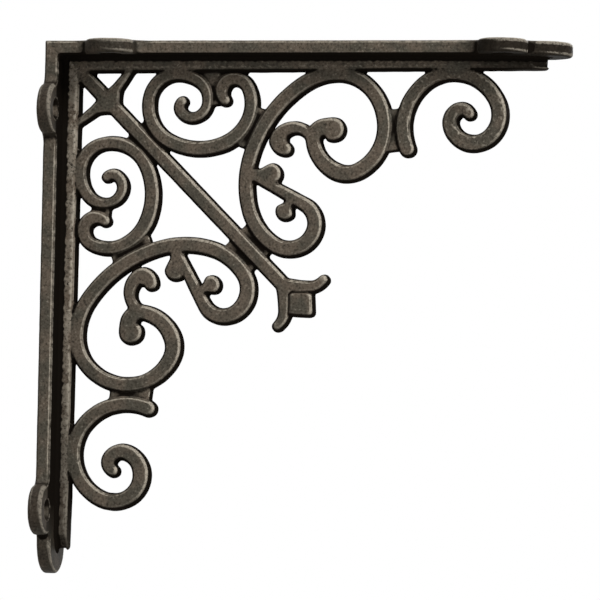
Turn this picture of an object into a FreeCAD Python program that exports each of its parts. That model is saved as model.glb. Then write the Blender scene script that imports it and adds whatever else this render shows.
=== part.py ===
"""Cast iron shelf bracket with scrollwork, in millimetres.

X leaves the wall, Z points up and Y runs along the wall. The wall face lies in X = 0, the shelf face in
Z = 0, and Y = 0 is the middle plane of the scrollwork. The upper half of the scrollwork hangs from the
shelf rib, and the lower half is its mirror image about the diagonal bar.
"""
import FreeCAD, Part
import math
import os

from FreeCAD import Vector

# Driving sizes: lengths in millimetres, angles in degrees
SIZES = {
    "leg_length": 201.6,
    "flange_width": 29.0,
    "flange_thickness": 5.2,
    "flange_edge_bevel": 0.7,
    "tongue_radius": 11.2,
    "tongue_taper": 14.0,
    "ear_radius": 9.4,
    "ear_offset": 2.0,
    "ear_blend": 4.0,
    "neck_blend": 2.0,
    "first_ear": 26.1,
    "last_ear_setback": 23.1,
    "screw_hole": 5.0,
    "screw_head": 8.6,
    "countersink_angle": 90.0,
    "rib_thickness": 7.8,
    "rib_setback": 9.6,
    "rib_edge_bevel": 0.7,
    "rib_root_height": 5.3,
    "rib_tip_height": 4.3,
    "rib_front_slope": 5.0,
    "rib_back_slope": 20.0,
    "rib_end_thickness": 2.8,
    "bar_depth": 7.4,
    "bar_bevel": 0.6,
    "web_depth": 5.4,
    "seat_bite": 0.7,
    "seat_fillet_length": 15.0,
    "diagonal_width": 4.6,
    "finial_stem": 23.6,
    "corner_scroll_seat": 49.1,
    "middle_scroll_seat": 111.4,
    "end_scroll_seat": 156.4,
    "bud_size": 8.2,
    "bud_flare": 0.5,
    "bud_corner_radius": 1.2,
    "petal_setback": 4.0,
    "petal_splay": 35.0,
    "thorn_root": 32.4,
    "thorn_lean": 123.0,
    "twig_bud_lean": 98.0,
    "loop_bud_place": 8.2,
    "loop_bud_lean": 94.0,
    "leaf_spread": 10.0,
    "scroll_tie_length": 14.6,
    "diagonal_web_length": 13.0,
    "arm_web_length": 15.0,
    "hook_tie_length": 6.0,
    "hook_web_shoulder": 6.5,
}

# Bends of each bar from its seat or root to its tip: radius, turn, and the bar's width where the bend ends.
# A positive turn leads away from the leg when the bar runs towards the leg's tip.
BENDS = {
    "corner_ring": [(11.0, -79, 4.0), (15.5, -74, 4.5), (25.4, -49, 4.9), (17.4, -45, 4.4),
                    (14.7, -48, 4.1), (6.1, -62, 4.3), (4.9, -80, 4.5), (4.9, -56, 3.4)],
    "corner_curl": [(14.3, 38, 3.9), (8.4, 74, 3.0), (6.3, 58, 3.2), (5.1, 73, 3.4), (2.8, 78, 3.0)],
    "middle_ring": [(17.5, 41, 4.7), (21.1, 61, 4.7), (18.0, 51, 5.2), (10.2, 50, 5.5), (15.3, 57, 4.6)],
    "middle_arm": [(24.0, -34, 5.0), (49.0, -42, 4.8), (36.6, -29, 4.8), (23.8, -41, 5.0),
                   (10.9, -58, 5.3), (9.8, -46, 5.1), (8.6, -62, 4.6)],
    "end_curl": [(18.7, 67, 5.0), (11.5, 58, 5.1), (9.8, 62, 5.3), (9.1, 65, 4.8), (5.3, 81, 4.5),
                 (3.3, 92, 3.6)],
    "end_tail": [(17.8, -38, 4.7), (20.9, -33, 4.7), (21.5, -42, 5.0)],
    "leaf_bulb": [(4.6, 100, 6.0), (6.0, 30, 8.2)],
    "leaf_sprig": [(8.0, -50, 3.4), (7.4, -62, 4.6), (4.0, -50, 6.2), (3.3, -76, 4.4)],
    "twig": [(8.0, -18, 4.2), (330.0, -4, 2.6)],
    "twig_bud": [(100.0, 3, 3.0), (100.0, 2.4, 7.2)],
    "loop_bud": [(60.0, 3, 2.6), (60.0, 2.7, 6.2)],
    "petal": [(55.0, -10, 3.8), (8.0, -50, 2.8)],
    "thorn": [(16.0, 24, 3.0), (200.0, 2.7, 1.6)],
}

# Bends that make up each scroll, from its seat towards the leg's tip and from its seat towards the corner
SCROLLS = {
    "corner_scroll": ("corner_curl", "corner_ring"),
    "middle_scroll": ("middle_ring", "middle_arm"),
    "end_scroll": ("end_curl", "end_tail"),
}

# Width of each bar at its seat or root
ROOT_WIDTHS = {
    "corner_scroll": 4.3,
    "middle_scroll": 4.8,
    "end_scroll": 4.8,
    "leaf_sprig": 3.6,
    "twig_bud": 3.2,
    "loop_bud": 3.4,
    "petal": 4.6,
    "thorn": 7.4,
}

# The diagonal bar halves the right angle between the legs
DIAGONAL_HEADING = 45.0

# Longest turn and length of bar between two stations, stations along the diagonal, and the width of a flat box
SPAN_ANGLE = 16.0
SPAN_LENGTH = 3.0
DIAGONAL_SPANS = 120
FLAT = 0.001

doc = FreeCAD.newDocument("shelf_bracket")
sheet = doc.addObject("Spreadsheet::Sheet", "Sizes")


def fill_sheet():
    """Write every driving size into its own named cell."""
    cells = dict(SIZES)
    for bar, width in ROOT_WIDTHS.items():
        cells[bar + "_root_width"] = width
    for bar, bends in BENDS.items():
        for number, (radius, turn, width) in enumerate(bends, start=1):
            cells[f"{bar}_radius_{number}"] = radius
            cells[f"{bar}_turn_{number}"] = turn
            cells[f"{bar}_width_{number}"] = width
    for row, (name, value) in enumerate(cells.items(), start=1):
        sheet.set(f"A{row}", name)
        sheet.set(f"B{row}", str(value))
        sheet.setAlias(f"B{row}", name)
    doc.recompute()


def size(name):
    """Value of a named cell."""
    return float(sheet.get(name))


def bend_list(bar):
    """Bends of a bar as the sheet holds them."""
    count = len(BENDS[bar])
    return [
        (size(f"{bar}_radius_{n}"), size(f"{bar}_turn_{n}"), size(f"{bar}_width_{n}"))
        for n in range(1, count + 1)
    ]


class Half:
    """One half of the bracket: places leg coordinates (along, away, across) in space."""

    def __init__(self, name):
        self.name = name

    def point(self, along, away, across=0.0):
        if self.name == "upper":
            return Vector(along, across, -away)
        return Vector(away, across, -along)


class Spine:
    """Centre line of a bar as stations: along, away, heading in degrees, width."""

    def __init__(self, *stations):
        self.stations = list(stations)

    def bend(self, radius, turn, end_width):
        along, away, heading, width = self.stations[-1]
        side = math.copysign(1.0, turn)
        length = radius * math.radians(abs(turn))
        spans = max(2, math.ceil(abs(turn) / SPAN_ANGLE), math.ceil(length / SPAN_LENGTH))
        hub_along = along - side * radius * math.sin(math.radians(heading))
        hub_away = away + side * radius * math.cos(math.radians(heading))
        for step in range(1, spans + 1):
            share = step / spans
            angle = heading + turn * share
            self.stations.append((
                hub_along + side * radius * math.sin(math.radians(angle)),
                hub_away - side * radius * math.cos(math.radians(angle)),
                angle,
                width + (end_width - width) * share,
            ))
        return self

    def follow(self, bar):
        for radius, turn, width in bend_list(bar):
            self.bend(radius, turn, width)
        return self

    def end(self):
        return self.stations[-1]

    def nearest(self, along, away):
        """Station closest to a place in the leg's plane."""
        return min(self.stations, key=lambda s: math.hypot(s[0] - along, s[1] - away))

    def at(self, distance):
        """First station at least a given distance from the start."""
        gone = 0.0
        for before, after in zip(self.stations, self.stations[1:]):
            gone += math.hypot(after[0] - before[0], after[1] - before[1])
            if gone >= distance:
                return after
        return self.end()

    def turned_back(self):
        """The same line walked from its tip to its start."""
        return Spine(*((a, b, heading + 180.0, w) for a, b, heading, w in reversed(self.stations)))

    def joined(self, other):
        return Spine(*self.stations, *other.stations[1:])

    def tip_half(self):
        """The later half of the stations."""
        return Spine(*self.stations[len(self.stations) // 2:])


def bar_outline(spine, half, across, inset, round_start, round_end):
    """Closed wire round a spine: two smooth edges and two end caps."""
    reach = [0.0]
    for before, after in zip(spine.stations, spine.stations[1:]):
        reach.append(reach[-1] + math.hypot(after[0] - before[0], after[1] - before[1]))
    sides = {}
    for side in (1.0, -1.0):
        points = []
        for along, away, heading, width in spine.stations:
            offset = side * (width / 2.0 - inset)
            points.append(half.point(
                along - offset * math.sin(math.radians(heading)),
                away + offset * math.cos(math.radians(heading)),
                across,
            ))
        curve = Part.BSplineCurve()
        curve.interpolate(Points=points, Parameters=reach)
        sides[side] = curve.toShape()

    def cap(station, sign, rounded, first, last):
        if not rounded:
            return Part.makeLine(first, last)
        along, away, heading, width = station
        bulge = sign * (width / 2.0 - inset)
        tip = half.point(
            along + bulge * math.cos(math.radians(heading)),
            away + bulge * math.sin(math.radians(heading)),
            across,
        )
        return Part.Arc(first, tip, last).toShape()

    right, left = sides[1.0], sides[-1.0]
    end_cap = cap(spine.stations[-1], 1.0, round_end, right.Vertexes[-1].Point, left.Vertexes[-1].Point)
    start_cap = cap(spine.stations[0], -1.0, round_start, left.Vertexes[0].Point, right.Vertexes[0].Point)
    return Part.Wire(Part.__sortEdges__([right, end_cap, left, start_cap]))


def bevelled_bar(name, spine, half, round_start=False, round_end=True):
    """A bar of the casting along a spine, with its four long edges bevelled."""
    front = -size("bar_depth") / 2.0
    bevel = size("bar_bevel")
    levels = [(front, bevel), (front + bevel, 0.0), (-front - bevel, 0.0), (-front, bevel)]
    wires = [bar_outline(spine, half, across, inset, round_start, round_end) for across, inset in levels]
    solid = Part.makeLoft(wires, True, True)
    if solid.Volume < 0.0:
        solid.reverse()
    feature = doc.addObject("Part::Feature", name)
    feature.Shape = solid
    return feature


def seated(label, raw, neighbours):
    """Cut a member back to the faces of the members that carry it."""
    shape = raw
    for neighbour in neighbours:
        cut = doc.addObject("Part::Cut", "seat_" + label)
        cut.Base = shape
        cut.Tool = neighbour
        shape = cut
    shape.Label = label
    return shape


def origin_plane(body, role):
    return next(plane for plane in body.Origin.OriginFeatures if plane.Role == role)


def add_sketch(body, name, role, geometry):
    sketch = body.newObject("Sketcher::SketchObject", name)
    sketch.AttachmentSupport = [(origin_plane(body, role), "")]
    sketch.MapMode = "FlatFace"
    sketch.addGeometry(geometry, False)
    return sketch


def polygon(points):
    """Closed run of line segments through flat points."""
    corners = [Vector(u, v, 0.0) for u, v in points]
    return [Part.LineSegment(a, b) for a, b in zip(corners, corners[1:] + corners[:1])]


def middle_pad(label, points, depth_name):
    """A flat plate of the casting: outline in the X-Z plane, padded to both sides of the middle plane."""
    body = doc.addObject("PartDesign::Body", label)
    sketch = add_sketch(body, label + "_outline", "XZ_Plane", polygon(points))
    pad = body.newObject("PartDesign::Pad", label + "_pad")
    pad.Profile = sketch
    pad.SideType = "Symmetric"
    pad.setExpression("Length", "Sizes." + depth_name)
    return body


def ear_places():
    """Distances of the two screw ears from the corner."""
    return (size("first_ear"), size("leg_length") - size("last_ear_setback"))


def rib_length():
    """Distance from the corner to the end of a rib."""
    return size("leg_length") - size("rib_setback")


def upright(edge):
    """True for a straight edge that runs square to the middle plane."""
    return edge.BoundBox.XLength < FLAT and edge.BoundBox.ZLength < FLAT


def flat_to_sides(edge):
    """True for an edge that lies in the front or the back face of a plate."""
    return edge.BoundBox.YLength < FLAT and abs(edge.BoundBox.Center.y) > FLAT


def dress(body, kind, name, size_property, size_name, choose):
    """Add a fillet or a chamfer to the chosen edges of a body."""
    doc.recompute()
    tip = body.Tip
    edges = [f"Edge{n}" for n, edge in enumerate(tip.Shape.Edges, start=1) if choose(edge)]
    feature = body.newObject("PartDesign::" + kind, name)
    feature.Base = (tip, edges)
    feature.setExpression(size_property, "Sizes." + size_name)
    return feature


def round_edges(body, name, size_name, choose):
    return dress(body, "Fillet", name, "Radius", size_name, choose)


def soften(body, name, size_name, choose):
    return dress(body, "Chamfer", name, "Size", size_name, choose)


def flange_outline(place):
    """Edges of a flange seen square on: straight edges, two ears on the front side and a round tongue."""
    half_width = size("flange_width") / 2.0
    radius = size("ear_radius")
    ear_centre = half_width + size("ear_offset")
    tongue = size("tongue_radius")
    tongue_root = size("leg_length") - tongue
    taper_start = tongue_root - size("tongue_taper")

    edges = []

    def line(start, end):
        edges.append(Part.LineSegment(place(*start), place(*end)))

    def arc(start, middle, end):
        edges.append(Part.Arc(place(*start), place(*middle), place(*end)))

    def hollow(ear, sign, blend, straight):
        """A blend beside an ear: where it leaves the straight edge, its middle, and where it meets the ear."""
        centre = straight + blend
        reach = math.sqrt((radius + blend) ** 2 - (centre - ear_centre) ** 2)
        touch = radius / (radius + blend)
        along = ear + sign * reach
        ear_point = (ear + sign * touch * reach, -ear_centre - touch * (centre - ear_centre))
        angle = math.atan2(reach * (1.0 - touch), ear_point[1] + centre) / 2.0
        middle = (along - sign * blend * math.sin(angle), -centre + blend * math.cos(angle))
        return (along, -straight), middle, ear_point

    wide = (size("ear_blend"), half_width)
    neck = (size("neck_blend"), tongue)
    first_ear, last_ear = ear_places()
    reached = (0.0, -half_width)
    for ear, before, after in ((first_ear, wide, wide), (last_ear, wide, neck)):
        leaves, sweep, meets = hollow(ear, -1.0, *before)
        line(reached, leaves)
        arc(leaves, sweep, meets)
        reached, sweep, parts = hollow(ear, 1.0, *after)
        arc(meets, (ear, -ear_centre - radius), parts)
        arc(parts, sweep, reached)
    line(reached, (tongue_root, -tongue))
    arc((tongue_root, -tongue), (tongue_root + tongue, 0.0), (tongue_root, tongue))
    line((tongue_root, tongue), (taper_start, half_width))
    line((taper_start, half_width), (0.0, half_width))
    line((0.0, half_width), (0.0, -half_width))
    return edges


def flange(label, role, place, mitre, inward):
    """A mounting flange with its screw ears, countersunk holes and mitred corner."""
    body = doc.addObject("PartDesign::Body", label)
    outline = add_sketch(body, label + "_outline", role, flange_outline(place))
    pad = body.newObject("PartDesign::Pad", label + "_pad")
    pad.Profile = outline
    pad.Reversed = inward < 0.0
    pad.setExpression("Length", "Sizes.flange_thickness")

    corner = add_sketch(body, label + "_mitre", "XZ_Plane", polygon(mitre))
    cut = body.newObject("PartDesign::Pocket", label + "_mitre_cut")
    cut.Profile = corner
    cut.SideType = "Symmetric"
    cut.setExpression("Length", "Sizes.flange_width * 2")
    doc.recompute()
    depth = size("flange_thickness")

    def on_outline(edge):
        box = edge.BoundBox
        low, high = (box.XMin, box.XMax) if role == "YZ_Plane" else (-box.ZMax, -box.ZMin)
        crosses = box.YLength > size("flange_width") - FLAT
        return high - low < FLAT and not crosses and (low < FLAT or low > depth - FLAT)

    soften(body, label + "_edge", "flange_edge_bevel", on_outline)
    doc.recompute()

    across = -size("flange_width") / 2.0 - size("ear_offset")
    circles = [
        Part.Circle(place(along, across), Vector(0.0, 0.0, 1.0), size("screw_hole") / 2.0)
        for along in ear_places()
    ]
    marks = add_sketch(body, label + "_screws", role, circles)
    marks.setExpression("AttachmentOffset.Base.z", f"Sizes.flange_thickness * {inward:.0f}")
    doc.recompute()
    holes = body.newObject("PartDesign::Hole", label + "_holes")
    holes.Profile = marks
    holes.Reversed = inward < 0.0
    holes.DepthType = "ThroughAll"
    holes.HoleCutType = "Countersink"
    holes.HoleCutCustomValues = True
    holes.setExpression("Diameter", "Sizes.screw_hole")
    holes.setExpression("HoleCutDiameter", "Sizes.screw_head")
    holes.setExpression("HoleCutCountersinkAngle", "Sizes.countersink_angle")
    return body


def rib_edge(along):
    """Distance from the leg's outer face to the free edge of its rib, which tapers towards the tip."""
    root = size("flange_thickness") + size("rib_root_height")
    share = (along - root) / (rib_length() - root)
    return root + share * (size("rib_tip_height") - size("rib_root_height"))


def rib(label, half):
    """A rib along the middle of a flange, mitred at the corner and sloped to a thin end."""
    thickness = size("flange_thickness")
    root = thickness + size("rib_root_height")
    length = rib_length()
    tip = thickness + size("rib_tip_height")
    flat = [(thickness, thickness), (length, thickness), (length, tip), (root, root)]
    points = [half.point(along, away) for along, away in flat]
    body = middle_pad(label, [(p.x, p.z) for p in points], "rib_thickness")

    role = "XY_Plane" if half.name == "upper" else "YZ_Plane"
    for face, side in (("front", -1.0), ("back", 1.0)):
        slope = length - size(f"rib_{face}_slope")
        outer = side * size("rib_thickness")
        wedge = [
            (slope, side * size("rib_thickness") / 2.0),
            (length, side * size("rib_end_thickness") / 2.0),
            (length, outer),
            (slope, outer),
        ]
        if half.name == "lower":
            wedge = [(across, -along) for along, across in wedge]
        name = f"{label}_{face}_slope"
        sketch = add_sketch(body, name, role, polygon(wedge))
        cut = body.newObject("PartDesign::Pocket", name + "_cut")
        cut.Profile = sketch
        cut.SideType = "Symmetric"
        cut.setExpression("Length", "Sizes.leg_length")

    def free_edge(edge):
        ends = [abs(v.X if half.name == "lower" else v.Z) for v in edge.Vertexes]
        return flat_to_sides(edge) and min(ends) > thickness + FLAT

    soften(body, label + "_bevel", "rib_edge_bevel", free_edge)
    return body


def scroll_lines(name):
    """The two centre lines that leave a scroll's seat on the rib."""
    width = size(name + "_root_width")
    seat = size(name + "_seat")
    away = rib_edge(seat) + width / 2.0 - size("seat_bite")
    outward, inward = SCROLLS[name]
    return Spine((seat, away, 0.0, width)).follow(outward), Spine((seat, away, 180.0, width)).follow(inward)


def diagonal_end():
    """The diagonal bar ends a stem's length past the loops that lie against it."""
    _, arm = scroll_lines("middle_scroll")
    loop = min(arm.stations, key=lambda s: abs(s[0] - s[1]))
    return (loop[0] + loop[1]) / math.sqrt(2.0) + size("finial_stem")


def diagonal_station(distance):
    """Station of the diagonal bar at a distance from the corner."""
    place = distance / math.sqrt(2.0)
    return (place, place, DIAGONAL_HEADING, size("diagonal_width"))


def diagonal_spine(start, end, spans=1):
    """Straight line along the diagonal, between two distances from the corner."""
    step = (end - start) / spans
    return Spine(*(diagonal_station(start + step * n) for n in range(spans + 1)))


def build_frame():
    """Flanges, ribs, diagonal bar and the bud at its end."""
    thickness = size("flange_thickness")
    upper = Half("upper")
    lower = Half("lower")
    nodes = {}
    nodes["wall_flange"] = flange(
        "wall_flange", "YZ_Plane", lambda along, across: Vector(across, -along, 0.0),
        [(0.0, 0.0), (thickness, 0.0), (thickness, -thickness)], 1.0)
    nodes["shelf_flange"] = flange(
        "shelf_flange", "XY_Plane", lambda along, across: Vector(along, across, 0.0),
        [(0.0, 0.0), (0.0, -thickness), (thickness, -thickness)], -1.0)
    nodes["wall_rib"] = rib("wall_rib", lower)
    nodes["shelf_rib"] = rib("shelf_rib", upper)

    start = (rib_edge(0.0) - size("seat_bite")) * math.sqrt(2.0)
    raw = bevelled_bar("diagonal_stock", diagonal_spine(start, diagonal_end()), upper, round_end=False)
    nodes["diagonal_bar"] = seated("diagonal_bar", raw, [nodes["wall_rib"], nodes["shelf_rib"]])

    inner = diagonal_end() / math.sqrt(2.0)
    outer = inner + size("bud_size")
    flared = outer + size("bud_flare")
    square = [(inner, -inner), (outer, -inner), (flared, -flared), (inner, -outer)]
    bud = middle_pad("bud_stock", square, "bar_depth")
    round_edges(bud, "bud_corner", "bud_corner_radius", lambda e: upright(e) and e.BoundBox.Center.x > outer)
    soften(bud, "bud_bevel", "bar_bevel", flat_to_sides)
    nodes["finial_bud"] = seated("finial_bud", bud, [nodes["diagonal_bar"]])
    return nodes


def closest(line, other):
    """The pair of stations at which two centre lines come closest."""
    pairs = ((first, other.nearest(first[0], first[1])) for first in line.stations)
    return min(pairs, key=lambda pair: math.hypot(pair[0][0] - pair[1][0], pair[0][1] - pair[1][1]))


def plate(label, half, corners):
    """A plate of the webs' depth from its corners in the leg's plane."""
    points = [half.point(along, away) for along, away in corners]
    return middle_pad(label, [(p.x, p.z) for p in points], "web_depth")


def web_stock(label, half, first, second, length):
    """A plate from one place to another, square to the line between them, before it is cut to its members."""
    gap = math.hypot(second[0] - first[0], second[1] - first[1])
    side_along = -(second[1] - first[1]) / gap * length / 2.0
    side_away = (second[0] - first[0]) / gap * length / 2.0
    corners = [
        (first[0] + side_along, first[1] + side_away),
        (second[0] + side_along, second[1] + side_away),
        (second[0] - side_along, second[1] - side_away),
        (first[0] - side_along, first[1] - side_away),
    ]
    return plate(label, half, corners)


def web(label, half, first, second, length, members):
    """A web in the gap between two bars, from centre line to centre line, cut back to their faces."""
    return seated(label, web_stock(label + "_stock", half, first, second, length), members)


def build_half(half, nodes):
    """Scrolls, leaves, buds, thorn, petal and ties of one half of the bracket."""
    rib_body = nodes["shelf_rib" if half.name == "upper" else "wall_rib"]
    diagonal = nodes["diagonal_bar"]

    def add(shape):
        nodes[shape.Label] = shape
        return shape

    def label(name):
        return f"{half.name}_{name}"

    def scroll(name, rounded=True):
        out_line, in_line = scroll_lines(name)
        bar = bevelled_bar(label(name) + "_bar", in_line.turned_back().joined(out_line), half, rounded, rounded)
        seat, away, _, width = out_line.stations[0]
        foot = (seat, away - width / 2.0)
        fillet = web_stock(label(name) + "_fillet", half, foot, (seat, away), size("seat_fillet_length"))
        raw = doc.addObject("Part::Fuse", label(name) + "_stock")
        raw.Base = bar
        raw.Tool = fillet
        return out_line, in_line, raw

    def branch(name, station, lean, width, neighbours):
        along, away, heading, _ = station
        line = Spine((along, away, heading + lean, width)).follow(name)
        raw = bevelled_bar(label(name) + "_stock", line, half)
        add(seated(label(name), raw, neighbours))
        return line

    corner_curl, corner_ring, raw = scroll("corner_scroll")
    corner = add(seated(label("corner_scroll"), raw, [rib_body, diagonal]))

    middle_ring, middle_arm, raw = scroll("middle_scroll", rounded=False)
    middle = add(seated(label("middle_scroll"), raw, [rib_body, diagonal, corner]))

    _, end_tail, raw = scroll("end_scroll")
    end = add(seated(label("end_scroll"), raw, [rib_body, middle]))

    fork = middle_ring.end()
    branch("leaf_bulb", fork, 0.0, fork[3], [middle])
    bulb = nodes[label("leaf_bulb")]
    branch("leaf_sprig", fork, -size("leaf_spread"), size("leaf_sprig_root_width"), [middle, bulb])

    loop_end = middle_arm.end()
    twig_line = branch("twig", loop_end, 0.0, loop_end[3], [middle])
    twig = nodes[label("twig")]
    arm_side = middle_arm.nearest(*twig_line.end()[:2])
    branch("twig_bud", arm_side, -size("twig_bud_lean"), size("twig_bud_root_width"), [middle, twig])
    twig_side = twig_line.at(size("loop_bud_place"))
    branch("loop_bud", twig_side, -size("loop_bud_lean"), size("loop_bud_root_width"), [twig])

    petal_start = diagonal_station(diagonal_end() - size("petal_setback"))
    branch("petal", petal_start, -size("petal_splay"), size("petal_root_width"),
           [diagonal, nodes["finial_bud"]])
    thorn_start = diagonal_station(size("thorn_root"))
    branch("thorn", thorn_start, -size("thorn_lean"), size("thorn_root_width"), [diagonal, rib_body])

    web_length = size("diagonal_web_length")
    diagonal_line = diagonal_spine(size("thorn_root"), diagonal_end(), DIAGONAL_SPANS)
    first, second = closest(corner_ring, diagonal_line)
    add(web(label("corner_web"), half, first, second, web_length, [diagonal, corner]))
    first, second = closest(middle_arm, diagonal_line)
    add(web(label("loop_web"), half, first, second, web_length, [diagonal, middle]))
    first, second = closest(corner_ring, middle_arm)
    add(web(label("arm_web"), half, first, second, size("arm_web_length"), [corner, middle]))
    first, second = closest(middle_ring, end_tail)
    add(web(label("scroll_tie"), half, first, second, size("scroll_tie_length"), [middle, end]))

    first, second = closest(corner_curl, corner_ring.tip_half())
    tie = add(web(label("hook_tie"), half, first, second, size("hook_tie_length"), [corner]))
    if half.name == "upper":
        crown = min(corner_ring.tip_half().stations, key=lambda s: s[1])
        shoulder = corner_curl.at(size("hook_web_shoulder"))
        inside_rib = [(s[0], rib_edge(s[0]) - size("seat_bite")) for s in (crown, shoulder)]
        corners = [first[:2], second[:2], crown[:2], *inside_rib, shoulder[:2]]
        stock = plate(label("hook_web_stock"), half, corners)
        add(seated(label("hook_web"), stock, [corner, rib_body, tie]))


def check_and_write(nodes):
    """Stop on any failed object, then write each member to its own file."""
    doc.recompute()
    for item in doc.Objects:
        if "Invalid" in item.State or "Error" in item.State:
            raise RuntimeError(f"{item.Label} failed: {item.State}")
    os.makedirs("parts", exist_ok=True)
    for name, item in nodes.items():
        shape = item.Shape
        if shape.isNull() or not shape.isValid() or not shape.Solids:
            raise RuntimeError(f"{name} has no valid solid")
        shape.exportStep(f"parts/{name}.step")
        print(f"{name}: {len(shape.Solids)} solid(s), {shape.Volume:.1f} cubic mm")


fill_sheet()
members = build_frame()
for half_name in ("upper", "lower"):
    build_half(Half(half_name), members)
check_and_write(members)
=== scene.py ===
import math

import bpy
import numpy as np
from mathutils import Matrix, Vector, noise
from mathutils.bvhtree import BVHTree


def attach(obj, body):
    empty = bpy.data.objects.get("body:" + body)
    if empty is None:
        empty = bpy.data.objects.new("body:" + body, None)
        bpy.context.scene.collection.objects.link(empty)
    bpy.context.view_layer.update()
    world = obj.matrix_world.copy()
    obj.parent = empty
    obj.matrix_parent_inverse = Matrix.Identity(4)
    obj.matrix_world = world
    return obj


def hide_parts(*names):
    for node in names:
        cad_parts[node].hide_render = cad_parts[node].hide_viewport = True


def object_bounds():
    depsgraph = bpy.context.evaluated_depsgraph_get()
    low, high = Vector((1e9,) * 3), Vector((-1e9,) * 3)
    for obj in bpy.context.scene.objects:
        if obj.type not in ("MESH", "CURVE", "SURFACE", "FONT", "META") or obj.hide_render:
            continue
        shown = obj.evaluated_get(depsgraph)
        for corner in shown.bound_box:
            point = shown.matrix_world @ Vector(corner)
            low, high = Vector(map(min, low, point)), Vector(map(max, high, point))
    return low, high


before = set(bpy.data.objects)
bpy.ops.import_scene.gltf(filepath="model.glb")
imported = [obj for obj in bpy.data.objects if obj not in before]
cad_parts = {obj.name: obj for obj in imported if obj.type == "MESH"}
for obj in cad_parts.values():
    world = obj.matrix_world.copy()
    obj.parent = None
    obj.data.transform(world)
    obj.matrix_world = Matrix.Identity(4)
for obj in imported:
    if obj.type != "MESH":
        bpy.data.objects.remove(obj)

cad_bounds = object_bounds()
MM = 0.001

# Sizes that the frame gives: the length of a leg, half the width of a flange and half the depth of a scroll
LEG_LENGTH = cad_bounds[1][0]
FLANGE_HALF = cad_bounds[1][1]
SCROLL_HALF = max(v.co.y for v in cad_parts["upper_end_scroll"].data.vertices)

# Skin of the casting: grid of the remesh, gap that is welded between members, fillets left in the corners,
# how far edges are eased and what that takes off, and how uneven the skin is
SKIN_VOXEL = 0.40 * MM
WELD_GAP = 0.002 * MM
CORNER_FILLET = 0.8 * MM
EASE_ROUNDS = 2
EASE_SHARE = 0.5
EASE_LOSS = 0.12 * MM
WAVE_SIZE = 5.0 * MM
WAVE_HEIGHT = 0.16 * MM
WAVE_DETAIL = 2

# Draft of the mould: how far the walls of the scrollwork stand out under their bevels, how much more at
# mid-depth, and how far from the wall and the shelf the scrollwork begins
WALL_SWELL = 0.30 * MM
WALL_DRAFT = 0.50 * MM
SCROLLWORK_FROM = 9.0 * MM

# Members that the sand left rough: how high their lumps stand in millimetres, how large the lumps are, how
# squarely a face has to look to the front or back to have them, and the member with a finish of its own
ROUGH_HEIGHTS = {"wall_rib": 0.15, "shelf_rib": 0.10, "upper_end_scroll": 0.12}
LUMP_SIZE = 1.5 * MM
LUMP_FACING = 0.9
ROUGHEST_MEMBER = "wall_rib"

# Crease round the bud of the finial: how deep it is, how many rounds spread it, and how its floor is widened
CREASED_MEMBERS = ("finial_bud",)
CREASE_DEPTH = 0.17 * MM
CREASE_ROUNDS = 3
CREASE_WIDENING = 2.0

# Relief of the skin: rounds of easing it is measured against, and the heights in millimetres at which
# hollows and edges begin and end
RELIEF_ROUNDS = 14
HOLLOW_FROM, HOLLOW_TO = 0.06, 0.14
EDGE_FROM, EDGE_TO = -0.038, -0.064

# Antique finish: sizes of its patches, grit and pits in millimetres, its undercoat, which on the walls is
# painted shade, and its rubbed edges, which are also a painted highlight where they face up or out
CLOUD_SIZE = 7.0
GRIT_SIZE = 0.9
PIT_SIZE = 1.6
UNDERCOAT_AND_PAINTED_SHADE = "#110e0b"
WORN_EDGE_AND_HIGHLIGHT = "#948c7f"

# Noise at which patches, dull grit, breaks in the worn edges and light specks begin and end, the share of
# the wear that is left in a break, the strength of a speck, and how softly a pit begins
PATCH_FROM, PATCH_TO = 0.38, 0.62
DULL_FROM, DULL_TO = 0.52, 0.28
BREAK_FROM, BREAK_TO = 0.52, 0.34
BREAK_SHARE = 0.4
SPECK_FROM, SPECK_TO = 0.61, 0.74
SPECK_SHARE = 0.42
PIT_FADE = 0.10

# Iron: its roughness, the dull sheen of the rubbed parts, which the undercoat doesn't have, and the
# strength of the grit
IRON_ROUGHNESS = 0.5
RUBBED_SHEEN = 0.06
GRIT_STRENGTH = 0.5

# How far a surface has to turn to the front or back before the rubbing reaches it; short of that the walls
# keep the undercoat, which is painted shade there. How much sooner it reaches edges that face up or out into
# the room, a painted highlight on those sides and painted shade on the others, and how far an edge has to
# face that way to wear light, also a painted highlight
FACING_FROM, FACING_TO = 0.66, 0.92
LIT_SIDE_LEAD = 0.22
LIT_EDGE_FROM, LIT_EDGE_TO = -0.25, 0.35

# Shares of the rubbing on the tips of the legs and on the ribs there, which is painted light on the tips, on
# the screw ears and on the faces that lie on the wall and the shelf, with the distances between which each
# sets in
TIP_FROM, TIP_TO = LEG_LENGTH - 25.6 * MM, LEG_LENGTH - 7.6 * MM
TIP_LIGHT_SHARE = 0.42
FLANGE_FROM, FLANGE_TO = 6.0 * MM, 5.0 * MM
TIP_RIB_LIGHT_SHARE = 0.3
EAR_FROM, EAR_TO = FLANGE_HALF + 0.7 * MM, FLANGE_HALF + 3.5 * MM
EAR_SHARE = 0.40
SEAT_FROM, SEAT_TO = 0.8 * MM, 0.3 * MM
SEAT_SHARE = 0.7

# Flanges and ribs lie inside the first of these distances. The end of the shelf leg is drawn darker by a
# share, and the worn edges of both legs, a painted highlight where they face up or out, show light at least
# a share everywhere
LEG_FROM, LEG_TO = SCROLLWORK_FROM + 1.0 * MM, SCROLLWORK_FROM
BLACK_FROM, BLACK_TO = LEG_LENGTH - 45.6 * MM, LEG_LENGTH - 31.6 * MM
BLACK_SHARE = 0.66
LIT_RIM_SHARE = 0.5

# The rough rib is drawn darker towards its lower end, between these distances under the shelf
LOW_FROM, LOW_TO = LEG_LENGTH - 91.6 * MM, LEG_LENGTH - 41.6 * MM

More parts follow.
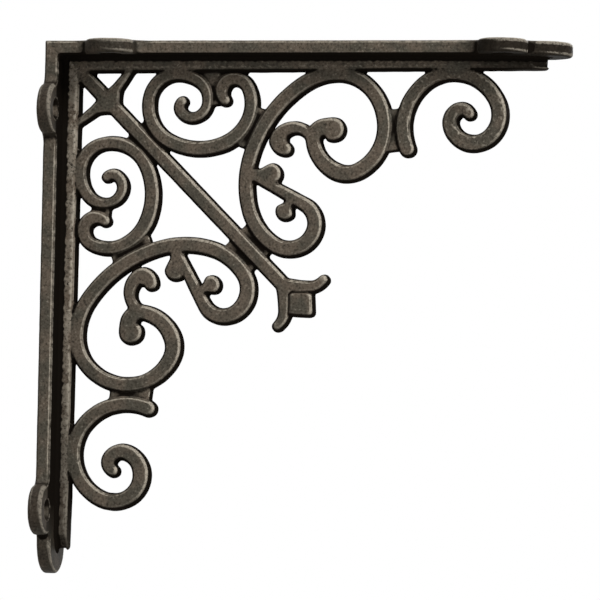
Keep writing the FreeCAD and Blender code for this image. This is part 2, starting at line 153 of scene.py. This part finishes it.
# Floor: its size in metres, how far it lies under the part, and where it runs out into white
FLOOR_SIZE = 6.0
FLOOR_MIDDLE = 0.1
FLOOR_DROP = 250.0 * MM
FLOOR_FROM, FLOOR_TO = 300.0 * MM, 800.0 * MM
FLOOR_COLOUR = "#f2f2f0"
WHITE = "#ffffff"

# Light of the surround, and for each lamp its place and side in metres and its watts
SURROUND_LIGHT = 0.12
LIT_POINT = (0.09, 0.0, -0.09)
LAMPS = {
    "key": ((1.20, -0.82, 0.84), 0.6, 29.0),
    "front": ((-0.1, -1.6, 0.2), 0.8, 1.2),
    "overhead": ((0.1, -0.2, 1.8), 3.0, 40.0),
    "back": ((0.5, 1.7, 0.5), 0.8, 12.0),
}

# Camera: turned to the right, lowered and tilted by these degrees, with a long lens whose focal length is
# given in pixels of the photograph
VIEW_YAW, VIEW_PITCH, VIEW_ROLL = 13.5, 4.0, 1.18
VIEW_TARGET = Vector((98.13, 0.0, -97.35)) * MM
VIEW_DISTANCE = 4542.0 * MM
FOCAL_PIXELS = 12000.0
PHOTO_PIXELS = 600.0
SENSOR_WIDTH = 36.0
CLIP_NEAR, CLIP_FAR = 0.05, 20.0


def srgb(code):
    """Linear colour of an sRGB hex code."""
    channels = [int(code[i:i + 2], 16) / 255.0 for i in (1, 3, 5)]
    return [c / 12.92 if c <= 0.04045 else ((c + 0.055) / 1.055) ** 2.4 for c in channels] + [1.0]


def add_node(tree, kind, links=None, **settings):
    """Outputs of a new shader node; links maps an input's name or place to a value or an output."""
    node = tree.nodes.new(kind)
    for name, value in settings.items():
        setattr(node, name, value)
    for place, source in (links or {}).items():
        if isinstance(source, bpy.types.NodeSocket):
            tree.links.new(source, node.inputs[place])
        else:
            node.inputs[place].default_value = source
    return node.outputs


def measures(tree):
    """What the finish goes by: where a point lies on the casting, how it faces, and its relief."""
    coordinates = add_node(tree, "ShaderNodeTexCoord")
    along = add_node(tree, "ShaderNodeSeparateXYZ", {0: coordinates["Object"]})
    normal = add_node(tree, "ShaderNodeSeparateXYZ", {0: coordinates["Normal"]})
    down = add_node(tree, "ShaderNodeMath", {0: along["Z"], 1: -1.0}, operation="MULTIPLY")[0]
    return {
        "place": coordinates["Object"],
        "out": along["X"],
        "down": down,
        "aside": add_node(tree, "ShaderNodeMath", {0: along["Y"]}, operation="ABSOLUTE")[0],
        "reach": add_node(tree, "ShaderNodeMath", {0: along["X"], 1: down}, operation="MAXIMUM")[0],
        "inset": add_node(tree, "ShaderNodeMath", {0: along["X"], 1: down}, operation="MINIMUM")[0],
        "facing": add_node(tree, "ShaderNodeMath", {0: normal["Y"]}, operation="ABSOLUTE")[0],
        "outward": add_node(tree, "ShaderNodeMath", {0: normal["X"], 1: normal["Z"]}, operation="ADD")[0],
        "relief": add_node(tree, "ShaderNodeAttribute", attribute_name="relief")["Fac"],
    }


def rubbing_and_painted_light(tree, at, leg):
    """How much of the finish shows over the undercoat: fully on faces, in part on tips, ears and seats, not
    on walls, where the undercoat is painted shade.
    """
    # Surfaces that turn up or out, towards the key lamp, take the finish sooner: a painted highlight there,
    # and painted shade where they turn the other way
    turned = add_node(tree, "ShaderNodeMath", {0: at["outward"], 1: LIT_SIDE_LEAD, 2: at["facing"]},
                      operation="MULTIPLY_ADD")[0]
    face = add_node(tree, "ShaderNodeMapRange",
                    {"Value": turned, "From Min": FACING_FROM, "From Max": FACING_TO})[0]
    # The finish on the tips of the legs and on their ribs, walls and all, is painted light
    tip = add_node(tree, "ShaderNodeMapRange",
                   {"Value": at["reach"], "From Min": TIP_FROM, "From Max": TIP_TO})[0]
    flange = add_node(tree, "ShaderNodeMapRange", {"Value": at["inset"], "From Min": FLANGE_FROM,
                                                   "From Max": FLANGE_TO, "To Min": TIP_RIB_LIGHT_SHARE})[0]
    lit_tip = add_node(tree, "ShaderNodeMath", {0: tip, 1: TIP_LIGHT_SHARE}, operation="MULTIPLY")[0]
    lit_tip = add_node(tree, "ShaderNodeMath", {0: lit_tip, 1: flange}, operation="MULTIPLY")[0]
    lobe = add_node(tree, "ShaderNodeMapRange",
                    {"Value": at["aside"], "From Min": EAR_FROM, "From Max": EAR_TO})[0]
    ear = add_node(tree, "ShaderNodeMath", {0: lobe, 1: EAR_SHARE}, operation="MULTIPLY")[0]

    # The faces of tips and ears are rubbed no more than the rest of an ear
    spared = add_node(tree, "ShaderNodeMath", {0: lobe, 1: tip}, operation="MAXIMUM")[0]
    reached = add_node(tree, "ShaderNodeMath", {0: spared, 1: EAR_SHARE - 1.0, 2: 1.0},
                       operation="MULTIPLY_ADD")[0]
    face = add_node(tree, "ShaderNodeMath", {0: face, 1: reached}, operation="MULTIPLY")[0]
    lit_tips_and_rubbed_ears = add_node(tree, "ShaderNodeMath", {0: lit_tip, 1: ear}, operation="MAXIMUM")[0]
    rubbed_and_painted_light = add_node(tree, "ShaderNodeMath", {0: face, 1: lit_tips_and_rubbed_ears}, operation="MAXIMUM")[0]

    # The black end of the shelf leg, and the faces that lie on the wall and the shelf
    black = add_node(tree, "ShaderNodeMapRange", {"Value": at["out"], "From Min": BLACK_FROM,
                                                  "From Max": BLACK_TO, "To Max": -BLACK_SHARE})[0]
    left = add_node(tree, "ShaderNodeMath", {0: leg, 1: black, 2: 1.0}, operation="MULTIPLY_ADD")[0]
    rubbed_and_painted_light = add_node(tree, "ShaderNodeMath", {0: rubbed_and_painted_light, 1: left}, operation="MULTIPLY")[0]
    seat = add_node(tree, "ShaderNodeMapRange", {"Value": at["inset"], "From Min": SEAT_FROM,
                                                 "From Max": SEAT_TO, "To Max": SEAT_SHARE})[0]
    return add_node(tree, "ShaderNodeMath", {0: rubbed_and_painted_light, 1: seat}, operation="MAXIMUM")[0]


def worn_and_highlit_edges(tree, at, grit):
    """Light wear along the edges, broken up by the grit, drawn only where the edges face up or out, so that
    it is also a painted highlight.
    """
    edge = add_node(tree, "ShaderNodeMapRange",
                    {"Value": at["relief"], "From Min": EDGE_FROM, "From Max": EDGE_TO})[0]
    broken = add_node(tree, "ShaderNodeMapRange", {"Value": grit, "From Min": BREAK_TO,
                                                   "From Max": BREAK_FROM, "To Min": BREAK_SHARE})[0]
    lit_side = add_node(tree, "ShaderNodeMapRange",
                       {"Value": at["outward"], "From Min": LIT_EDGE_FROM, "From Max": LIT_EDGE_TO})[0]
    worn_and_highlit = add_node(tree, "ShaderNodeMath", {0: edge, 1: broken}, operation="MULTIPLY")[0]
    return add_node(tree, "ShaderNodeMath", {0: worn_and_highlit, 1: lit_side}, operation="MULTIPLY")[0]


def finish_colour_with_highlights(tree, at, grit, worn_and_highlit, brown, grey, dulled):
    """Brown and grey patches, dulled by the grit, with light specks and light edges that are worn and also a
    painted highlight.
    """
    clouds = add_node(tree, "ShaderNodeTexNoise",
                      {"Vector": at["place"], "Scale": 1.0 / (CLOUD_SIZE * MM), "Detail": 2.0})[0]
    patch = add_node(tree, "ShaderNodeMapRange",
                     {"Value": clouds, "From Min": PATCH_FROM, "From Max": PATCH_TO})[0]
    colour = add_node(tree, "ShaderNodeMix", {0: patch, 6: srgb(brown), 7: srgb(grey)}, data_type="RGBA")[2]
    dull = add_node(tree, "ShaderNodeMapRange",
                    {"Value": grit, "From Min": DULL_FROM, "From Max": DULL_TO})[0]
    colour = add_node(tree, "ShaderNodeMix", {0: dull, 6: colour, 7: srgb(dulled)}, data_type="RGBA")[2]
    specks = add_node(tree, "ShaderNodeMapRange", {"Value": grit, "From Min": SPECK_FROM,
                                                   "From Max": SPECK_TO, "To Max": SPECK_SHARE})[0]
    light = add_node(tree, "ShaderNodeMath", {0: worn_and_highlit, 1: specks}, operation="MAXIMUM")[0]
    return add_node(tree, "ShaderNodeMix", {0: light, 6: colour, 7: srgb(WORN_EDGE_AND_HIGHLIGHT)}, data_type="RGBA")[2]


def sheltered(tree, at, pitting):
    """Pits and hollows, where no hand reached."""
    pits = add_node(tree, "ShaderNodeTexNoise",
                    {"Vector": at["place"], "Scale": 1.0 / (PIT_SIZE * MM), "Detail": 2.0})[0]
    pitted = add_node(tree, "ShaderNodeMapRange",
                      {"Value": pits, "From Min": pitting, "From Max": pitting - PIT_FADE})[0]
    hollow = add_node(tree, "ShaderNodeMapRange",
                      {"Value": at["relief"], "From Min": HOLLOW_FROM, "From Max": HOLLOW_TO})[0]
    return add_node(tree, "ShaderNodeMath", {0: pitted, 1: hollow}, operation="MAXIMUM")[0]


def cast_iron(name, brown, grey, dulled, pitting, grain, low_share):
    """Sand-cast iron under a hand-rubbed antique finish.

    The black undercoat stays in the hollows, and on the walls, where it is painted shade. The faces are
    rubbed to a mottled brown grey, and their edges are rubbed lightest, a painted highlight where they face
    up or out. The tips of the legs are painted light. The grit of the sand is drawn about twice as coarse as
    it is, so that it shows.
    """
    material = bpy.data.materials.new(name)
    material.use_nodes = True
    tree = material.node_tree
    tree.nodes.clear()
    at = measures(tree)
    leg = add_node(tree, "ShaderNodeMapRange",
                   {"Value": at["inset"], "From Min": LEG_FROM, "From Max": LEG_TO})[0]
    grit = add_node(tree, "ShaderNodeTexNoise", {"Vector": at["place"], "Scale": 1.0 / (GRIT_SIZE * MM),
                                                 "Detail": 3.0, "Roughness": 0.6})[0]
    worn_and_highlit = worn_and_highlit_edges(tree, at, grit)
    colour = finish_colour_with_highlights(tree, at, grit, worn_and_highlit, brown, grey, dulled)

    # Where the finish shows over the undercoat: rubbed through, or painted light on the tips and edges;
    # where it doesn't, on the walls, the undercoat is painted shade
    lit_rim = add_node(tree, "ShaderNodeMath", {0: worn_and_highlit, 1: leg}, operation="MULTIPLY")[0]
    lit_rim = add_node(tree, "ShaderNodeMath", {0: lit_rim, 1: LIT_RIM_SHARE}, operation="MULTIPLY")[0]
    rubbed_and_painted_light = add_node(tree, "ShaderNodeMath", {0: rubbing_and_painted_light(tree, at, leg), 1: lit_rim}, operation="MAXIMUM")[0]
    bare_and_painted_light = add_node(tree, "ShaderNodeMath", {0: rubbed_and_painted_light, 1: sheltered(tree, at, pitting)},
                    operation="SUBTRACT", use_clamp=True)[0]
    low = add_node(tree, "ShaderNodeMapRange", {"Value": at["down"], "From Min": LOW_FROM,
                                                "From Max": LOW_TO, "To Min": 1.0, "To Max": low_share})[0]
    bare_and_painted_light = add_node(tree, "ShaderNodeMath", {0: bare_and_painted_light, 1: low}, operation="MULTIPLY")[0]
    colour = add_node(tree, "ShaderNodeMix", {0: bare_and_painted_light, 6: srgb(UNDERCOAT_AND_PAINTED_SHADE), 7: colour}, data_type="RGBA")[2]

    bumps = add_node(tree, "ShaderNodeBump",
                     {"Height": grit, "Strength": GRIT_STRENGTH, "Distance": grain * MM})[0]
    sheen = add_node(tree, "ShaderNodeMath", {0: bare_and_painted_light, 1: RUBBED_SHEEN}, operation="MULTIPLY")[0]
    shader = add_node(tree, "ShaderNodeBsdfPrincipled", {"Base Color": colour, "Roughness": IRON_ROUGHNESS,
                                                         "Specular IOR Level": sheen, "Normal": bumps})[0]
    add_node(tree, "ShaderNodeOutputMaterial", {"Surface": shader})
    return material


def skin_mesh():
    """A single eased skin over all members, so that they run into each other as a casting does.

    With it come a tree of the members' own faces and the number of the member that each face belongs to.
    """
    points, faces, owners = [], [], []
    for number, node in enumerate(sorted(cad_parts)):
        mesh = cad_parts[node].data
        start = len(points)
        points.extend(v.co[:] for v in mesh.vertices)
        for polygon in mesh.polygons:
            faces.append([start + v for v in polygon.vertices])
            owners.append(number)
    tree = BVHTree.FromPolygons(points, faces)

    whole = bpy.data.meshes.new("whole_casting")
    whole.from_pydata(points, [], faces)
    stand_in = bpy.data.objects.new("whole_casting", whole)
    bpy.context.scene.collection.objects.link(stand_in)
    weld = stand_in.modifiers.new("weld", "WELD")
    weld.merge_threshold = WELD_GAP
    for swell in (CORNER_FILLET, -CORNER_FILLET):
        remesh = stand_in.modifiers.new("skin", "REMESH")
        remesh.mode = "VOXEL"
        remesh.voxel_size = SKIN_VOXEL
        offset = stand_in.modifiers.new("swell", "DISPLACE")
        offset.mid_level = 0.0
        offset.strength = swell
    ease = stand_in.modifiers.new("ease", "SMOOTH")
    ease.factor = EASE_SHARE
    ease.iterations = EASE_ROUNDS

    # The waves swing about a middle grey, and lie out by what the easing took off
    wave = bpy.data.textures.new("mould_waves", "CLOUDS")
    wave.noise_scale = WAVE_SIZE
    wave.noise_depth = WAVE_DETAIL
    uneven = stand_in.modifiers.new("uneven", "DISPLACE")
    uneven.texture = wave
    uneven.texture_coords = "LOCAL"
    uneven.strength = WAVE_HEIGHT
    uneven.mid_level = 0.5 - EASE_LOSS / WAVE_HEIGHT
    graph = bpy.context.evaluated_depsgraph_get()
    mesh = bpy.data.meshes.new_from_object(stand_in.evaluated_get(graph))
    bpy.data.objects.remove(stand_in)
    return mesh, tree, owners


def vectors(collection, name):
    """The named vector of every item of a mesh, as rows."""
    values = np.empty(len(collection) * 3, np.float32)
    collection.foreach_get(name, values)
    return values.reshape(-1, 3)


def move_points(mesh, points):
    """Put the points of a mesh in new places."""
    mesh.vertices.foreach_set("co", points.astype(np.float32).ravel())
    mesh.update()


def draft_walls(mesh):
    """Let the walls of the scrollwork stand out between their bevels, as the mould drew them."""
    points = vectors(mesh.vertices, "co")
    normals = vectors(mesh.vertex_normals, "vector")
    depth = np.clip(1.0 - np.abs(points[:, 1]) / SCROLL_HALF, 0.0, 1.0)
    scrollwork = np.minimum(points[:, 0], -points[:, 2]) > SCROLLWORK_FROM
    swell = (WALL_SWELL + WALL_DRAFT * depth) * scrollwork
    points[:, 0] += normals[:, 0] * swell
    points[:, 2] += normals[:, 2] * swell
    move_points(mesh, points)


def spread(values, edges, rounds):
    """Values of the points, each round drawn half-way to the mean of their neighbours."""
    count = len(values)
    neighbours = np.bincount(edges.ravel(), minlength=count)
    for _ in range(rounds):
        total = (np.bincount(edges[:, 0], values[edges[:, 1]], count)
                 + np.bincount(edges[:, 1], values[edges[:, 0]], count))
        values = 0.5 * values + 0.5 * total / neighbours
    return values


def roughen(mesh, quads, owner, heights):
    """Raise lumps on the front and back of the members that the sand left rough."""
    points = vectors(mesh.vertices, "co")
    facing = vectors(mesh.vertex_normals, "vector")[:, 1]
    flat = np.clip((np.abs(facing) - LUMP_FACING) / (1.0 - LUMP_FACING), 0.0, 1.0) * np.sign(facing)
    for number, height in heights.items():
        for v in np.unique(quads[owner == number]):
            points[v, 1] += flat[v] * noise.noise(Vector(points[v]) / LUMP_SIZE) * height
    move_points(mesh, points)


def crease_seams(mesh, edges, quads, owner, creased):
    """Sink the skin along the seams of the creased members."""
    points = vectors(mesh.vertices, "co")
    normals = vectors(mesh.vertex_normals, "vector")
    inside, outside = np.zeros(len(points), bool), np.zeros(len(points), bool)
    own = np.isin(owner, creased)
    inside[quads[own]] = True
    outside[quads[~own]] = True
    seam = spread((inside & outside).astype(float), edges, CREASE_ROUNDS)
    depth = np.minimum(CREASE_WIDENING * seam, 1.0) * CREASE_DEPTH
    move_points(mesh, points - normals * depth[:, None])


def skin_relief(points, normals, edges):
    """Height in millimetres of the eased skin over each point: above zero in hollows, below it on edges."""
    eased = np.transpose([spread(points[:, axis].astype(float), edges, RELIEF_ROUNDS) for axis in range(3)])
    return ((eased - points) * normals).sum(axis=1) / MM


def part_skin(materials):
    """Part the skin into one piece per member, each over the solid it stands for."""
    mesh, tree, owners = skin_mesh()
    nodes = sorted(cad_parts)
    draft_walls(mesh)
    edges = np.empty(len(mesh.edges) * 2, np.int32)
    mesh.edges.foreach_get("vertices", edges)
    edges = edges.reshape(-1, 2)
    corners = np.empty(len(mesh.loops), np.int32)
    mesh.loops.foreach_get("vertex_index", corners)
    quads = corners.reshape(-1, 4)
    centres = vectors(mesh.vertices, "co")[quads].mean(axis=1)
    owner = np.array([owners[tree.find_nearest(Vector(c))[2]] for c in centres])
    roughen(mesh, quads, owner, {nodes.index(node): height * MM for node, height in ROUGH_HEIGHTS.items()})
    crease_seams(mesh, edges, quads, owner, [nodes.index(node) for node in CREASED_MEMBERS])
    points = vectors(mesh.vertices, "co")
    normals = vectors(mesh.vertex_normals, "vector")
    relief = skin_relief(points, normals, edges)
    for number, node in enumerate(nodes):
        own = quads[owner == number]
        used, local = np.unique(own, return_inverse=True)
        piece_mesh = bpy.data.meshes.new("cast_" + node)
        piece_mesh.from_pydata(points[used].tolist(), [], local.reshape(-1, 4).tolist())
        piece_mesh.polygons.foreach_set("use_smooth", [True] * len(own))
        piece_mesh.normals_split_custom_set_from_vertices(normals[used].tolist())
        piece_mesh.attributes.new("relief", "FLOAT", "POINT").data.foreach_set("value", relief[used])
        piece_mesh.materials.append(materials["rough" if node == ROUGHEST_MEMBER else "smooth"])
        piece = bpy.data.objects.new("cast_" + node, piece_mesh)
        bpy.context.scene.collection.objects.link(piece)
        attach(piece, "root")
        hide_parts(node)


def seen_ray(tree):
    """1 for a ray that shows the surround, straight, mirrored or through glass, 0 for one that lights."""
    path = add_node(tree, "ShaderNodeLightPath")
    mirrored = add_node(tree, "ShaderNodeMath", {0: path["Is Glossy Ray"], 1: path["Is Transmission Ray"]},
                        operation="MAXIMUM")[0]
    return add_node(tree, "ShaderNodeMath", {0: path["Is Camera Ray"], 1: mirrored}, operation="MAXIMUM")[0]


def studio_floor():
    """Pale matt floor that takes the shadow near the part and runs out into white."""
    paint = bpy.data.materials.new("pale_studio_floor")
    paint.use_nodes = True
    tree = paint.node_tree
    tree.nodes.clear()
    place = add_node(tree, "ShaderNodeTexCoord")["Object"]
    away = add_node(tree, "ShaderNodeVectorMath", {0: place}, operation="LENGTH")["Value"]
    far = add_node(tree, "ShaderNodeMapRange",
                   {"Value": away, "From Min": FLOOR_FROM, "From Max": FLOOR_TO})[0]
    far = add_node(tree, "ShaderNodeMath", {0: far, 1: seen_ray(tree)}, operation="MULTIPLY")[0]
    near_floor = add_node(tree, "ShaderNodeBsdfDiffuse", {"Color": srgb(FLOOR_COLOUR)})[0]
    far_floor = add_node(tree, "ShaderNodeEmission", {"Color": srgb(WHITE), "Strength": 1.0})[0]
    mixed = add_node(tree, "ShaderNodeMixShader", {0: far, 1: near_floor, 2: far_floor})[0]
    add_node(tree, "ShaderNodeOutputMaterial", {"Surface": mixed})

    level = cad_bounds[0][2] - FLOOR_DROP
    bpy.ops.mesh.primitive_plane_add(size=FLOOR_SIZE, location=(FLOOR_MIDDLE, 0.0, level))
    floor = bpy.context.object
    floor.name = "floor"
    floor.data.materials.append(paint)


def studio_light():
    """White surround and soft lamps."""
    world = bpy.data.worlds.new("studio")
    bpy.context.scene.world = world
    world.use_nodes = True
    tree = world.node_tree
    tree.nodes.clear()
    around = add_node(tree, "ShaderNodeBackground", {"Color": srgb(WHITE), "Strength": SURROUND_LIGHT})[0]
    white = add_node(tree, "ShaderNodeBackground", {"Color": srgb(WHITE), "Strength": 1.0})[0]
    mixed = add_node(tree, "ShaderNodeMixShader", {0: seen_ray(tree), 1: around, 2: white})[0]
    add_node(tree, "ShaderNodeOutputWorld", {"Surface": mixed})

    for name, (place, side, watts) in LAMPS.items():
        light = bpy.data.lights.new(name, "AREA")
        light.shape = "SQUARE"
        light.size = side
        light.energy = watts
        lamp = bpy.data.objects.new(name, light)
        lamp.location = place
        lamp.rotation_euler = (Vector(LIT_POINT) - Vector(place)).to_track_quat("-Z", "Y").to_euler()
        bpy.context.scene.collection.objects.link(lamp)


def camera():
    """Long lens from the right and a little below, as the photograph was taken."""
    yaw, pitch, roll = (math.radians(angle) for angle in (VIEW_YAW, VIEW_PITCH, VIEW_ROLL))
    forward = Vector((-math.sin(yaw) * math.cos(pitch), math.cos(yaw) * math.cos(pitch), math.sin(pitch)))
    right = Vector((math.cos(yaw), math.sin(yaw), 0.0))
    up = right.cross(forward)
    tilted_right = right * math.cos(roll) + up * math.sin(roll)
    tilted_up = up * math.cos(roll) - right * math.sin(roll)
    turn = Matrix((tilted_right, tilted_up, -forward)).transposed()
    data = bpy.data.cameras.new("camera")
    data.sensor_width = SENSOR_WIDTH
    data.lens = FOCAL_PIXELS * SENSOR_WIDTH / PHOTO_PIXELS
    data.clip_start = CLIP_NEAR
    data.clip_end = CLIP_FAR
    lens = bpy.data.objects.new("camera", data)
    lens.matrix_world = Matrix.Translation(VIEW_TARGET - forward * VIEW_DISTANCE) @ turn.to_4x4()
    bpy.context.scene.collection.objects.link(lens)
    bpy.context.scene.camera = lens


finishes = {
    "smooth": cast_iron("antique_cast_iron_painted_light_and_shade", brown="#554c42", grey="#444038", dulled="#2a2620",
                        pitting=0.21, grain=0.09, low_share=1.0),
    "rough": cast_iron("rough_cast_iron_painted_light_and_shade", brown="#5c5247", grey="#7a7266", dulled="#26211b",
                       pitting=0.33, grain=0.3, low_share=0.5),
}
part_skin(finishes)
bpy.context.scene.view_settings.view_transform = "Standard"
studio_floor()
studio_light()
camera()
